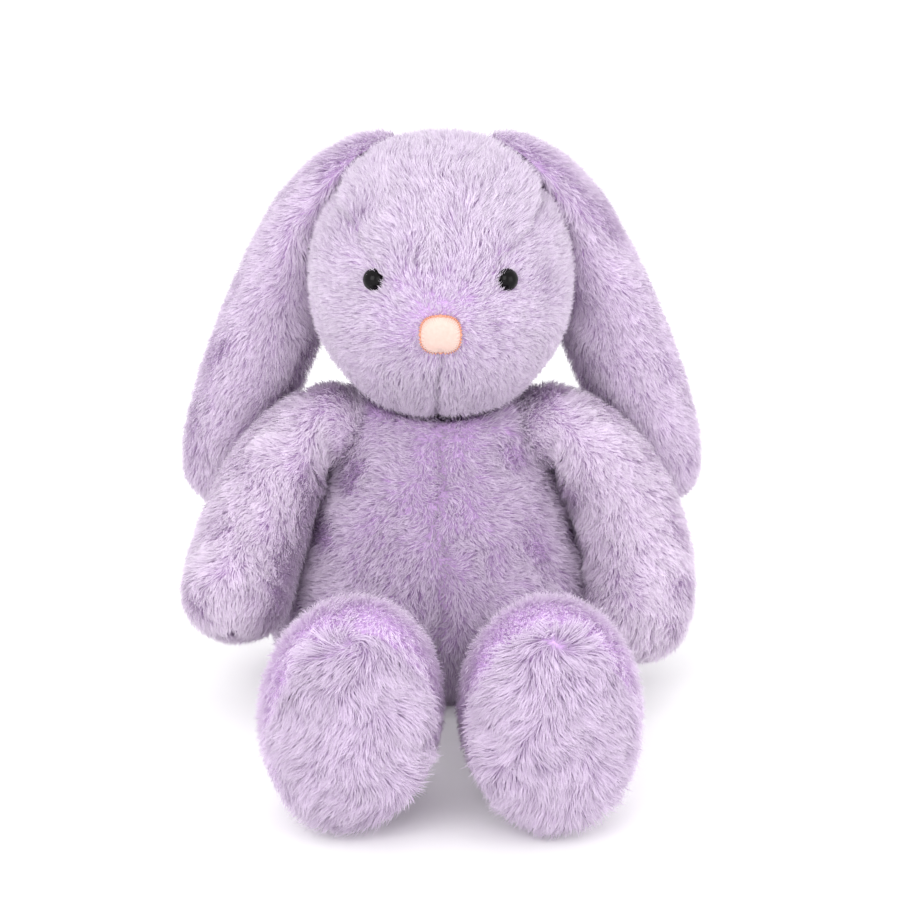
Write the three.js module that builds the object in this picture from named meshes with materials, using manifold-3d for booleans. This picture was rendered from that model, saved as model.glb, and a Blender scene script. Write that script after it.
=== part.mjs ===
// A seated plush rabbit in long-pile cloth, made the way a soft toy is sewn: cloth panels round
// fibre stuffing and pellet bags, a bead of filled cloth for a neck, safety eyes and a sewn nose.
// Millimetres, +Z up. The rabbit faces -Y and its own left side is +X.

import * as THREE from 'three';
import { mergeVertices } from 'three/addons/utils/BufferGeometryUtils.js';
import Module from 'manifold-3d';

const wasm = await Module();
wasm.setup();

// Driving dimensions

const cloth = { wall: 5, seamGap: 0.3, fillGap: 1.5 }; // backing with its pressed pile
const cutPast = 6; // how far a seam's cut runs past the cloth
const finest = 0.1; // shorter edges left by a cut are closed up

const torso = {
  height: 131, // floor to the top of the shoulders
  hipHalfWidth: 75,
  hipHalfDepth: 58,
  shoulderHalfWidth: 46,
  shoulderHalfDepth: 38,
  seatHalfWidth: 58,
  seatHalfDepth: 45,
  chinDip: 7, // how far the neckline drops ahead of and behind the neck
  bellyForward: 3, // how far the belly leans ahead of the seat
  depthAtHips: 0.88, // share of its greatest depth at the height of the hip joints
  seatSeam: 2, // left round the seat panel
  seatThickness: 3.5,
  seatShare: 0.035, // of the way along the profile, where the pellets start
  pelletShare: 0.3, // of the way along the profile, where pellets give way to fibre
  fillGapShare: 0.01,
  fibreShare: 0.66, // of the way along the profile, where the fibre ends
};

const neck = { radius: 17.5, ballDrop: 9, wall: 2.6, bandAngle: 62, turnGap: 0.9, fibreGap: 10 };

const head = {
  halfWidth: 54.5,
  halfDepth: 53,
  halfHeight: 58,
  roundness: 2.2, // 2 is an ellipsoid, more is squarer
  forward: 12,
  neckRise: 2.5, // from the middle of the neck bead up to the underside of the head
  nodAhead: 8, // degrees
  nodBack: 4,
  torsoGap: 1.2,
  seamGap: 0.7, // the seams beside the gusset run at a slant
  muzzleReach: 5,
  muzzleSpread: 24,
  muzzleDrop: 13,
  gussetHalfWidth: 22,
  gussetStart: -22, // degrees round from the nose, over the crown
  gussetEnd: 232,
};

const eye = { radius: 5, domeHeight: 4.2, postRadius: 1.6, postLength: 12, apart: 56, rise: 7 };
const washer = { radius: 6.5, thickness: 1.2, boreClearance: 0.3, backSpace: 1.8, pocketPast: 3, holePast: 2 };
const nose = {
  halfWidth: 8.7,
  halfHeight: 8.2,
  thickness: 3.2,
  squareness: 2.7,
  drop: 14.5,
  faceGap: 0.5,
  rimThickness: 0.6,
};

const ear = {
  rootInset: 30.5, // from the side of the head in to the hinge
  rootBack: 14, // behind the middle of the head
  rootSink: 3, // below the crown
  headGap: 0.8,
  // down the ear from its root: out, back, down, half width, and how thick each cloth face bulges
  stations: [
    [0, 0, 0, 0, 0, 0],
    [9, 0, 3.5, 10, 4, 4],
    [21, 1, 14, 15, 8.5, 8],
    [33, 3, 30, 18, 12, 11],
    [44, 7, 52, 20, 14, 14],
    [54.5, 11, 78, 21.5, 16, 18],
    [64, 16, 107, 22, 18, 22.5],
    [71.5, 21, 135, 21.5, 19, 21.5],
    [76, 24, 154, 17, 15.5, 15],
    [77, 25, 170, 0, 0, 0],
  ],
};

const arm = {
  jointGap: 1.5,
  torsoSwell: 2, // how far the torso stands out past its shoulder width behind the joint
  shoulderDrop: 15, // below the top of the torso
  shoulderForward: 12,
  rootRadius: 17.5,
  pawRadius: 22.5,
  capLength: 20,
  fillStart: 0.012, // share of the way along where the fibre starts
  capFill: 0.65, // share of the cap's length that the fibre reaches into
  squareShare: 0.35, // of the way down, over which the sections turn off the shoulder's flat face
  torsoGap: 0.6,
  // offsets from the shoulder: out, as a share of how far the hips overhang the shoulders, forward, down
  rightRoute: [[0, 0, 0], [0.345, 3, 7], [0.76, 9, 22], [1.07, 18, 43], [1.275, 32, 63], [1.31, 48, 77]],
  leftRoute: [[0, 0, 0], [0.345, 2, 7], [0.793, 6, 22], [1.138, 12, 44], [1.241, 20, 71], [0.966, 28, 96]],
};

const leg = {
  hipRadius: 23,
  hipGap: 2,
  hipApart: 76,
  length: 113, // hip centre to the front of the sole
  footHalfWidth: 33.8,
  footHalfHeight: 45,
  feetGap: 5.6,
  feetShift: 5.3, // both feet lie a little to the rabbit's left
  floorGap: 0.3,
  rightFootLean: 9,
  leftFootLean: -1,
  soleShare: 0.8, // of the way along the leg, where the sole is sewn on
  soleGap: 0.5,
};

const tail = { radius: 16, wall: 4, lift: 22, gap: 0.6, opening: 5 };

const colours = {
  fur: 0xd6c6e2,
  fibre: 0xf4f2ee,
  pellets: 0xe8e6df,
  peach: 0xf6e8e5,
  black: 0x0b0b0d,
  white: 0xe9e9ea,
};

// Places worked out from the sizes

const degrees = THREE.MathUtils.degToRad;
const neckCentre = new THREE.Vector3(0, 0, torso.height - neck.ballDrop);
const headCentre = new THREE.Vector3(0, -head.forward, neckCentre.z + head.halfHeight + head.neckRise);
const shoulderX = torso.shoulderHalfWidth + arm.jointGap + arm.torsoSwell;
const hipOverhang = torso.hipHalfWidth - torso.shoulderHalfWidth;
const hipY = -torso.hipHalfDepth * torso.depthAtHips - torso.bellyForward - leg.hipGap - leg.hipRadius;

// Building closed bodies

// A closed body from loose triangles: shared points are merged, flat slivers dropped, faces turned out
function closedBody(triangles) {
  const merged = mergeVertices(new THREE.BufferGeometry().setFromPoints(triangles.flat()), 1e-4);
  const index = merged.getIndex().array;
  const kept = [];
  for (let i = 0; i < index.length; i += 3) {
    const [a, b, c] = index.slice(i, i + 3);
    if (a !== b && b !== c && c !== a) kept.push(a, b, c);
  }
  const place = merged.getAttribute('position');
  const corner = (i) => new THREE.Vector3().fromBufferAttribute(place, i);
  let volume = 0;
  for (let i = 0; i < kept.length; i += 3) {
    volume += corner(kept[i]).dot(corner(kept[i + 1]).cross(corner(kept[i + 2])));
  }
  if (volume < 0) kept.reverse();
  merged.setIndex(kept);
  return merged;
}

// Two facing sheets of points joined into one body, with walls along the edges that are named open
function thickSheet(outer, inner, open) {
  const triangles = [];
  const quad = (a, b, c, d) => triangles.push([a, b, c], [a, c, d]);
  const rows = outer.length - 1;
  const columns = outer[0].length - 1;
  for (let i = 0; i < rows; i++) {
    for (let j = 0; j < columns; j++) {
      quad(outer[i][j], outer[i + 1][j], outer[i + 1][j + 1], outer[i][j + 1]);
      quad(inner[i][j], inner[i][j + 1], inner[i + 1][j + 1], inner[i + 1][j]);
    }
  }
  for (let j = 0; j < columns; j++) {
    if (open.firstRow) quad(outer[0][j], outer[0][j + 1], inner[0][j + 1], inner[0][j]);
    if (open.lastRow) quad(outer[rows][j + 1], outer[rows][j], inner[rows][j], inner[rows][j + 1]);
  }
  for (let i = 0; i < rows; i++) {
    if (open.firstColumn) quad(outer[i + 1][0], outer[i][0], inner[i][0], inner[i + 1][0]);
    if (open.lastColumn) {
      quad(outer[i][columns], outer[i + 1][columns], inner[i + 1][columns], inner[i][columns]);
    }
  }
  return closedBody(triangles);
}

// Rings of points, one above the other, closed by a fan at each end
function stack(rings) {
  const triangles = [];
  const middle = (ring) => {
    const sum = new THREE.Vector3();
    ring.forEach((point) => sum.add(point));
    return sum.divideScalar(ring.length);
  };
  const size = rings[0].length;
  for (let i = 0; i + 1 < rings.length; i++) {
    for (let j = 0; j < size; j++) {
      const k = (j + 1) % size;
      triangles.push([rings[i][j], rings[i + 1][j], rings[i + 1][k]]);
      triangles.push([rings[i][j], rings[i + 1][k], rings[i][k]]);
    }
  }
  for (const [ring, ends] of [[rings[0], false], [rings[rings.length - 1], true]]) {
    const centre = middle(ring);
    for (let j = 0; j < size; j++) {
      const k = (j + 1) % size;
      triangles.push(ends ? [ring[k], ring[j], centre] : [ring[j], ring[k], centre]);
    }
  }
  return closedBody(triangles);
}

// A form gives at(u, v), with u round it in turns and v from end to end, and core(v), a point inside it
function crossing(form, u, v) {
  const step = 1e-3;
  const safe = Math.min(Math.max(v, 0.004), 0.996);
  const along = form.at(u, safe + step).sub(form.at(u, safe - step));
  const around = form.at(u + step, safe).sub(form.at(u - step, safe));
  return along.cross(around).normalize();
}

// Whether along crossed with around points out of a form, judged once at its middle
function facing(form) {
  form.facing ??= Math.sign(crossing(form, 0.1, 0.5).dot(form.at(0.1, 0.5).sub(form.core(0.5))));
  return form.facing;
}

// The point of a form moved inwards along its normal
function insetPoint(form, u, v, depth) {
  return form.at(u, v).addScaledVector(crossing(form, u, v), -depth * facing(form));
}

// One sewn panel of a form: map(a, b) gives its u and v over the unit square, and a pole row closes
function panel(form, map, rows, columns, open, wall = cloth.wall) {
  const sheet = (depth) => {
    const points = [];
    for (let i = 0; i <= rows; i++) {
      const row = [];
      for (let j = 0; j <= columns; j++) row.push(insetPoint(form, ...map(i / rows, j / columns), depth));
      points.push(row);
    }
    return points;
  };
  const closePole = (points, j) => {
    const sum = new THREE.Vector3();
    points.forEach((row) => sum.add(row[j]));
    sum.divideScalar(points.length);
    points.forEach((row) => row[j].copy(sum));
  };
  const outer = sheet(0);
  const inner = sheet(wall);
  for (const points of [outer, inner]) {
    if (open.poleFirst) closePole(points, 0);
    if (open.poleLast) closePole(points, columns);
  }
  return thickSheet(outer, inner, open);
}

// A thin curved wall down the middle of a form, from its line at one turn to the line opposite
function curtain(form, turn, reach) {
  const rows = 24;
  const front = [];
  const back = [];
  for (let i = -1; i <= rows + 1; i++) {
    const v = THREE.MathUtils.clamp(i / rows, 0.004, 0.996);
    const across = form.at(turn, v).sub(form.at(turn + 0.5, v)).normalize();
    const along = form.core(v + 0.003).sub(form.core(v - 0.003)).normalize();
    const normal = across.clone().cross(along).normalize();
    const centre = form.core(v);
    if (i < 0) centre.addScaledVector(along, -reach);
    if (i > rows) centre.addScaledVector(along, reach);
    const line = (offset) => [-reach, reach].map((far) =>
      centre.clone().addScaledVector(across, far).addScaledVector(normal, offset));
    front.push(line(cloth.seamGap / 2));
    back.push(line(-cloth.seamGap / 2));
  }
  return thickSheet(front, back, { firstRow: true, lastRow: true, firstColumn: true, lastColumn: true });
}

// A closed skin cut in two along a seam, the half that lies further along a direction first
function seamed(skin, seam, direction) {
  const pieces = solidOf(skin).subtract(solidOf(seam)).decompose();
  const middle = (piece) => {
    const { min, max } = piece.boundingBox();
    return new THREE.Vector3(...min).add(new THREE.Vector3(...max)).dot(direction);
  };
  return pieces.sort((a, b) => b.volume() - a.volume()).slice(0, 2)
    .sort((a, b) => middle(b) - middle(a)).map(geometryOf);
}

// Filling inside a form between two shares of its length
function filling(form, fromV, toV, rings, sides, depth) {
  const levels = [];
  for (let i = 0; i <= rings; i++) {
    const v = THREE.MathUtils.lerp(fromV, toV, i / rings);
    levels.push(Array.from({ length: sides }, (_, j) => insetPoint(form, j / sides, v, depth)));
  }
  return stack(levels);
}

const curveThrough = (points) =>
  new THREE.CatmullRomCurve3(points.map((p) => new THREE.Vector3(...p)), false, 'centripetal');

// Cutting with solids

function solidOf(geometry) {
  const bare = geometry.clone();
  bare.deleteAttribute('normal');
  bare.deleteAttribute('uv');
  const merged = mergeVertices(bare, 1e-4);
  return new wasm.Manifold(new wasm.Mesh({
    numProp: 3,
    vertProperties: new Float32Array(merged.getAttribute('position').array),
    triVerts: new Uint32Array(merged.getIndex().array),
  }));
}

function geometryOf(solid) {
  const { vertProperties, triVerts } = solid.asOriginal().simplify(finest).getMesh();
  const geometry = new THREE.BufferGeometry();
  geometry.setAttribute('position', new THREE.BufferAttribute(new Float32Array(vertProperties), 3));
  geometry.setIndex(Array.from(triVerts));
  return geometry;
}

function cutBy(geometry, ...tools) {
  let solid = solidOf(geometry);
  for (const tool of tools) solid = solid.subtract(solidOf(tool));
  return geometryOf(solid);
}

const ballAt = (centre, radius, sides = 24) =>
  new THREE.SphereGeometry(radius, sides, sides / 2).translate(centre.x, centre.y, centre.z);

// The object

const group = new THREE.Group();

function fabric(colour, roughness) {
  return new THREE.MeshStandardMaterial({ color: colour, roughness, metalness: 0 });
}

function add(name, geometry, material) {
  geometry.computeVertexNormals();
  const mesh = new THREE.Mesh(geometry, material);
  mesh.name = name;
  group.add(mesh);
}

const fur = () => fabric(colours.fur, 0.95);
const fibre = () => fabric(colours.fibre, 0.9);
const pellets = () => fabric(colours.pellets, 0.7);

const sides = [
  { name: 'left', sign: 1 },
  { name: 'right', sign: -1 },
];

// The torso is a pear. Its profile runs from the seat up and over the shoulders to the neck.
const torsoProfile = curveThrough([
  // half width, half depth, height
  [torso.seatHalfWidth, torso.seatHalfDepth, 0],
  [torso.hipHalfWidth * 0.93, torso.hipHalfDepth * 0.9, torso.height * 0.06],
  [torso.hipHalfWidth, torso.hipHalfDepth * 0.985, torso.height * 0.17],
  [torso.hipHalfWidth * 0.985, torso.hipHalfDepth, torso.height * 0.3],
  [torso.hipHalfWidth * 0.88, torso.hipHalfDepth * 0.96, torso.height * 0.45],
  [torso.shoulderHalfWidth * 1.2, torso.shoulderHalfDepth * 1.33, torso.height * 0.63],
  [torso.shoulderHalfWidth * 1.04, torso.shoulderHalfDepth * 1.13, torso.height * 0.77],
  [torso.shoulderHalfWidth, torso.shoulderHalfDepth * 0.98, torso.height * 0.91],
  [torso.shoulderHalfWidth * 0.88, torso.shoulderHalfDepth * 0.84, torso.height * 0.985],
  [torso.shoulderHalfWidth * 0.72, torso.shoulderHalfDepth * 0.72, torso.height],
  [neck.radius + 8, neck.radius + 6, torso.height * 0.98],
  [neck.radius + 2, neck.radius + 2, torso.height * 0.945],
]);

const torsoForm = {
  core: (v) => {
    const { z } = torsoProfile.getPoint(v);
    return new THREE.Vector3(0, torsoLean(z), z);
  },
  at: (u, v) => {
    const { x, y, z } = torsoProfile.getPoint(v);
    const angle = u * 2 * Math.PI;
    const dip = torso.chinDip * Math.cos(angle) ** 2 * THREE.MathUtils.smoothstep(z / torso.height, 0.72, 1);
    const point = new THREE.Vector3(x * Math.sin(angle), torsoLean(z) - y * Math.cos(angle), z - dip);
    point.z = Math.min(point.z, underHead(point.x, point.y) - head.torsoGap);
    return point;
  },
};

// The lowest the underside of the head comes over a place, at either end of its nod
function underHead(x, y) {
  const across = Math.hypot(x / head.halfWidth, (y - headCentre.y) / head.halfDepth);
  if (across >= 1) return Infinity;
  const rise = head.halfHeight * (1 - across ** head.roundness) ** (1 / head.roundness);
  const nod = degrees(y < 0 ? head.nodAhead : head.nodBack);
  return headCentre.z - rise - Math.abs(y) * Math.tan(nod);
}

// The belly leans ahead, and the seat and the neck stay over the middle
function torsoLean(z) {
  return -torso.bellyForward * Math.sin(Math.PI * THREE.MathUtils.clamp(z / torso.height, 0, 1));
}

function addTorso() {
  const quarter = (start) => (a, b) => {
    const { x, y } = torsoProfile.getPoint(b);
    const gap = cloth.seamGap / 2 / (2 * Math.PI * Math.min(x, y));
    return [start + THREE.MathUtils.lerp(gap, 0.25 - gap, a), b];
  };
  const open = { firstRow: true, lastRow: true, firstColumn: true, lastColumn: true };
  const quarters = { front_left: 0, back_left: 0.25, back_right: 0.5, front_right: 0.75 };
  for (const [name, start] of Object.entries(quarters)) {
    add(`torso_${name}`, panel(torsoForm, quarter(start), 5, 13, open), fur());
  }
  const seat = new THREE.Shape();
  const rim = cloth.wall + torso.seatSeam;
  seat.absellipse(0, 0, torso.seatHalfWidth - rim, torso.seatHalfDepth - rim, 0, 2 * Math.PI);
  add('seat_panel', new THREE.ExtrudeGeometry(seat, {
    depth: torso.seatThickness,
    bevelEnabled: false,
    curveSegments: 14,
  }), fur());
  const depth = cloth.wall + cloth.fillGap;
  const split = torso.pelletShare;
  add('seat_pellet_bag', filling(torsoForm, torso.seatShare, split, 4, 20, depth), pellets());
  const neckRoom = ballAt(neckCentre, neck.radius + neck.fibreGap);
  const fibres = filling(torsoForm, split + torso.fillGapShare, torso.fibreShare, 8, 20, depth);
  add('torso_stuffing', cutBy(fibres, neckRoom), fibre());
}

function addTail() {
  const centre = new THREE.Vector3(0, torso.hipHalfDepth + tail.radius + tail.gap, tail.lift);
  const form = {
    core: () => centre.clone(),
    at: (u, v) => {
      const polar = v * Math.PI;
      const around = u * 2 * Math.PI;
      const r = tail.radius * Math.sin(polar);
      const offset = new THREE.Vector3(r * Math.sin(around), -tail.radius * Math.cos(polar), r * Math.cos(around));
      return offset.add(centre);
    },
  };
  const start = Math.asin(tail.opening / tail.radius) / Math.PI;
  const map = (a, b) => [a, THREE.MathUtils.lerp(start, 1, b)];
  add('tail_skin', panel(form, map, 14, 7, { firstColumn: true, poleLast: true }, tail.wall), fur());
  add('tail_stuffing', ballAt(centre, tail.radius - tail.wall - cloth.fillGap, 12), fibre());
}

// The neck is a filled bead of cloth, so the head rocks and turns on it
function addNeck() {
  const form = {
    core: () => neckCentre.clone(),
    at: (u, v) => {
      const rise = degrees(THREE.MathUtils.lerp(-neck.bandAngle, neck.bandAngle, v));
      const around = u * 2 * Math.PI;
      const r = neck.radius * Math.cos(rise);
      const offset = new THREE.Vector3(r * Math.sin(around), -r * Math.cos(around), neck.radius * Math.sin(rise));
      return offset.add(neckCentre);
    },
  };
  const open = { firstColumn: true, lastColumn: true };
  add('neck_sleeve', panel(form, (a, b) => [a, b], 18, 6, open, neck.wall), fur());
  add('neck_stuffing', ballAt(neckCentre, neck.radius - neck.wall - cloth.fillGap, 12), fibre());
}

// The head is a rounded block: |x|^n + |y|^n + |z|^n is 1 in its half sizes, with a muzzle in front
const power = (value, exponent) => Math.sign(value) * Math.abs(value) ** exponent;

function muzzle(x, z) {
  const away = x * x + (z - headCentre.z + head.muzzleDrop) ** 2;
  return head.muzzleReach * Math.exp(-away / (2 * head.muzzleSpread ** 2));
}

const headForm = {
  core: () => headCentre.clone(),
  at: (u, v) => {
    const round = 2 / head.roundness;
    const across = (v - 0.5) * Math.PI;
    const turn = u * 2 * Math.PI;
    const ring = power(Math.cos(across), round);
    const x = head.halfWidth * power(Math.sin(across), round);
    const ahead = power(Math.cos(turn), round) * ring;
    const z = headCentre.z + head.halfHeight * ring * power(Math.sin(turn), round);
    const reach = muzzle(x, z) * Math.max(0, ahead);
    return new THREE.Vector3(x, headCentre.y - head.halfDepth * ahead - reach, z);
  },
};

// The front of the head at a place seen from the front, and the way it faces there
function faceAt(x, z) {
  const n = head.roundness;
  const left = 1 - Math.abs(x / head.halfWidth) ** n - Math.abs((z - headCentre.z) / head.halfHeight) ** n;
  const ahead = left ** (1 / n);
  return new THREE.Vector3(x, headCentre.y - (head.halfDepth + muzzle(x, z)) * ahead, z);
}

function faceNormal(x, z) {
  const acrossX = faceAt(x + 0.1, z).sub(faceAt(x - 0.1, z));
  const acrossZ = faceAt(x, z + 0.1).sub(faceAt(x, z - 0.1));
  const normal = acrossX.cross(acrossZ).normalize();
  return normal.y > 0 ? normal.negate() : normal;
}

// Half the gusset's width at a turn round the head: a long leaf with pointed ends
function gussetHalf(u) {
  const turn = ((u * 360 + 180) % 360 + 360) % 360 - 180;
  const unwrapped = turn < head.gussetStart - 1e-6 ? turn + 360 : turn;
  const share = (unwrapped - head.gussetStart) / (head.gussetEnd - head.gussetStart);
  return share <= 0 || share >= 1 ? 0 : head.gussetHalfWidth * Math.sin(Math.PI * share) ** 0.7;
}

// How far across the head, as a share of its length from side to side, a given x lies
const headShare = (x) => 0.5 + Math.asin(power(x / head.halfWidth, head.roundness / 2)) / Math.PI;

function eyeParts(sign) {
  const x = (sign * eye.apart) / 2;
  const z = headCentre.z + eye.rise;
  const outward = faceNormal(x, z);
  const turn = new THREE.Quaternion().setFromUnitVectors(new THREE.Vector3(0, 1, 0), outward);
  const place = (geometry) => {
    const seat = faceAt(x, z).addScaledVector(outward, cloth.seamGap);
    return geometry.applyQuaternion(turn).translate(seat.x, seat.y, seat.z);
  };
  const dome = [[0, -eye.postLength], [eye.postRadius, -eye.postLength], [eye.postRadius, 0], [eye.radius, 0]];
  for (let i = 1; i <= 5; i++) {
    const angle = (i / 5) * (Math.PI / 2);
    dome.push([eye.radius * Math.cos(angle), eye.domeHeight * Math.sin(angle)]);
  }
  dome[dome.length - 1][0] = 0;
  const bore = eye.postRadius + washer.boreClearance;
  const top = -cloth.wall - washer.backSpace;
  const bottom = top - washer.thickness;
  const ring = [[bore, top], [bore, bottom], [washer.radius, bottom], [washer.radius, top], [bore, top]];
  const lathe = (points) => new THREE.LatheGeometry(points.map((p) => new THREE.Vector2(...p)), 14);
  const rod = (radius, from, to) => {
    const length = to - from;
    return place(new THREE.CylinderGeometry(radius, radius, length, 14).translate(0, from + length / 2, 0));
  };
  return {
    eye: geometryOf(solidOf(place(lathe(dome)))),
    washer: place(lathe(ring)),
    postHole: rod(bore, -eye.postLength - washer.holePast, washer.holePast),
    washerPocket: rod(washer.radius + cloth.fillGap, bottom - cloth.fillGap, top + washer.pocketPast),
  };
}

// The side panels' rows meet the gusset's rows along its length, then carry on under the chin
const gussetRows = 18;
const chinRows = 7;
function turnAt(share) {
  const row = share * (gussetRows + chinRows);
  const chin = (row - gussetRows) / chinRows;
  return (row <= gussetRows
    ? THREE.MathUtils.lerp(head.gussetStart, head.gussetEnd, row / gussetRows)
    : THREE.MathUtils.lerp(head.gussetEnd, head.gussetStart + 360, chin)) / 360;
}

function addHead() {
  const neckBall = ballAt(neckCentre, neck.radius + neck.turnGap);
  const eyes = sides.map((side) => ({ ...side, ...eyeParts(side.sign) }));
  for (const { name, sign, eye: dome, washer: lock, postHole } of eyes) {
    const map = (a, b) => {
      const u = turnAt(a);
      const edge = headShare(gussetHalf(u) + head.seamGap / 2);
      const v = THREE.MathUtils.lerp(edge, 1, b);
      return [u, sign > 0 ? v : 1 - v];
    };
    const side = panel(headForm, map, gussetRows + chinRows, 6, { firstColumn: true, poleLast: true });
    add(`head_side_${name}`, cutBy(side, neckBall, postHole), fur());
    add(`eye_${name}`, dome, new THREE.MeshStandardMaterial({ color: colours.black, roughness: 0.08 }));
    add(`eye_washer_${name}`, lock, fabric(colours.white, 0.4));
  }
  const strip = (a, b) => {
    const u = THREE.MathUtils.lerp(head.gussetStart, head.gussetEnd, a) / 360;
    const half = Math.max(gussetHalf(u) - head.seamGap / 2, 0);
    return [u, THREE.MathUtils.lerp(headShare(-half), headShare(half), b)];
  };
  add('head_gusset', panel(headForm, strip, gussetRows, 4, { firstColumn: true, lastColumn: true }), fur());
  const stuffing = filling(headForm, 0.004, 0.996, 12, 20, cloth.wall + cloth.fillGap);
  const pockets = eyes.flatMap((e) => [e.postHole, e.washerPocket]);
  add('head_stuffing', cutBy(stuffing, neckBall, ...pockets), fibre());
}

// The nose is a rounded square of padded cloth that follows the muzzle
function addNose() {
  const rings = 5;
  const spokes = 20;
  const zMiddle = headCentre.z - nose.drop;
  const sheet = (lift) => Array.from({ length: spokes + 1 }, (_, i) => {
    const angle = (i / spokes) * 2 * Math.PI;
    const c = power(Math.cos(angle), 2 / nose.squareness);
    const s = power(Math.sin(angle), 2 / nose.squareness);
    return Array.from({ length: rings + 1 }, (_, j) => {
      const share = j / rings;
      const x = nose.halfWidth * c * share;
      const z = zMiddle + nose.halfHeight * s * share;
      return faceAt(x, z).addScaledVector(faceNormal(x, z), lift(share));
    });
  });
  const back = sheet(() => nose.faceGap);
  const rim = nose.faceGap + nose.rimThickness;
  const front = sheet((share) => rim + nose.thickness * Math.sqrt(1 - share ** 4 * 0.9));
  add('nose', thickSheet(front, back, { lastColumn: true }), fabric(colours.peach, 0.8));
}

const earRoot = (sign) => new THREE.Vector3(
  sign * (head.halfWidth - ear.rootInset),
  headCentre.y + ear.rootBack,
  headCentre.z + head.halfHeight - ear.rootSink,
);

// Each ear is two cloth panels, an outer and an inner, seamed round their edge
function addEar({ name, sign }) {
  const root = earRoot(sign);
  const route = curveThrough(ear.stations.map(([out, back, down]) => [sign * out, back, -down]));
  const rows = 13;
  const columns = 7;
  const half = (face, bulge) => {
    const girth = curveThrough(ear.stations.map((station, i) => [station[bulge], station[3], i]));
    const sheet = (full) => Array.from({ length: rows + 1 }, (_, i) => {
      const v = i / rows;
      const along = route.getTangent(v);
      const front = new THREE.Vector3(0, -1, 0).addScaledVector(along, along.y).normalize();
      const out = front.clone().cross(along).multiplyScalar(sign).normalize();
      const { x: thick, y: wide } = girth.getPoint(v);
      return Array.from({ length: columns + 1 }, (_, j) => {
        const angle = (j / columns) * Math.PI;
        const lift = cloth.seamGap / 2 + (full ? Math.max(0, thick) * Math.sin(angle) : 0);
        return route.getPoint(v).add(root)
          .addScaledVector(front, Math.max(0, wide) * Math.cos(angle))
          .addScaledVector(out, face * lift);
      });
    });
    return thickSheet(sheet(true), sheet(false), {});
  };
  const headShape = filling(headForm, 0.004, 0.996, 14, 28, -ear.headGap);
  add(`ear_${name}_outer`, cutBy(half(1, 4), headShape), fur());
  add(`ear_${name}_inner`, cutBy(half(-1, 5), headShape), fur());
}

// An arm's tube starts at its flat shoulder face and ends in a rounded paw
function armForm(sign, offsets) {
  const shoulder = new THREE.Vector3(sign * shoulderX, -arm.shoulderForward, torso.height - arm.shoulderDrop);
  const route = curveThrough(offsets.map(([out, ahead, down]) => [sign * out * hipOverhang, -ahead, -down]));
  const length = route.getLength();
  const capShare = arm.capLength / length;
  const frame = (v) => {
    const along = route.getTangent(v);
    const start = new THREE.Vector3(sign, 0, 0);
    along.lerp(start, Math.max(0, 1 - v / arm.squareShare)).normalize();
    const front = new THREE.Vector3(0, -1, 0).addScaledVector(along, along.y).normalize();
    return { front, out: front.clone().cross(along).multiplyScalar(sign).normalize() };
  };
  const radius = (v) => {
    const full = THREE.MathUtils.lerp(arm.rootRadius, arm.pawRadius, Math.min(1, v * 1.6));
    const into = Math.max(0, (v - 1 + capShare) / capShare);
    return full * Math.sqrt(Math.max(0, 1 - into * into));
  };
  return {
    core: (v) => route.getPoint(v).add(shoulder),
    at: (u, v) => {
      const { front, out } = frame(v);
      const angle = u * 2 * Math.PI;
      return route.getPoint(v).add(shoulder)
        .addScaledVector(front, radius(v) * Math.cos(angle))
        .addScaledVector(out, radius(v) * Math.sin(angle));
    },
    capShare,
  };
}

function addArm({ name, sign }) {
  const form = armForm(sign, sign > 0 ? arm.leftRoute : arm.rightRoute);
  // rows crowd towards the paw's tip, where the tube closes
  const ease = (b) => 1 - (1 - b) ** 1.35;
  const skin = panel(form, (a, b) => [a, ease(b)], 14, 12, { firstColumn: true, poleLast: true });
  const torsoShape = filling(torsoForm, 0, 0.96, 16, 40, -arm.torsoGap);
  const pressed = cutBy(skin, torsoShape);
  const [outer, inner] = seamed(pressed, curtain(form, 0, arm.pawRadius + cutPast), new THREE.Vector3(sign, 0, 0));
  add(`arm_${name}_outer`, outer, fur());
  add(`arm_${name}_inner`, inner, fur());
  const depth = cloth.wall + cloth.fillGap;
  const fibreEnd = 1 - form.capShare * (1 - arm.capFill);
  add(`arm_${name}_stuffing`, filling(form, arm.fillStart, fibreEnd, 9, 14, depth), fibre());
}

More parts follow.
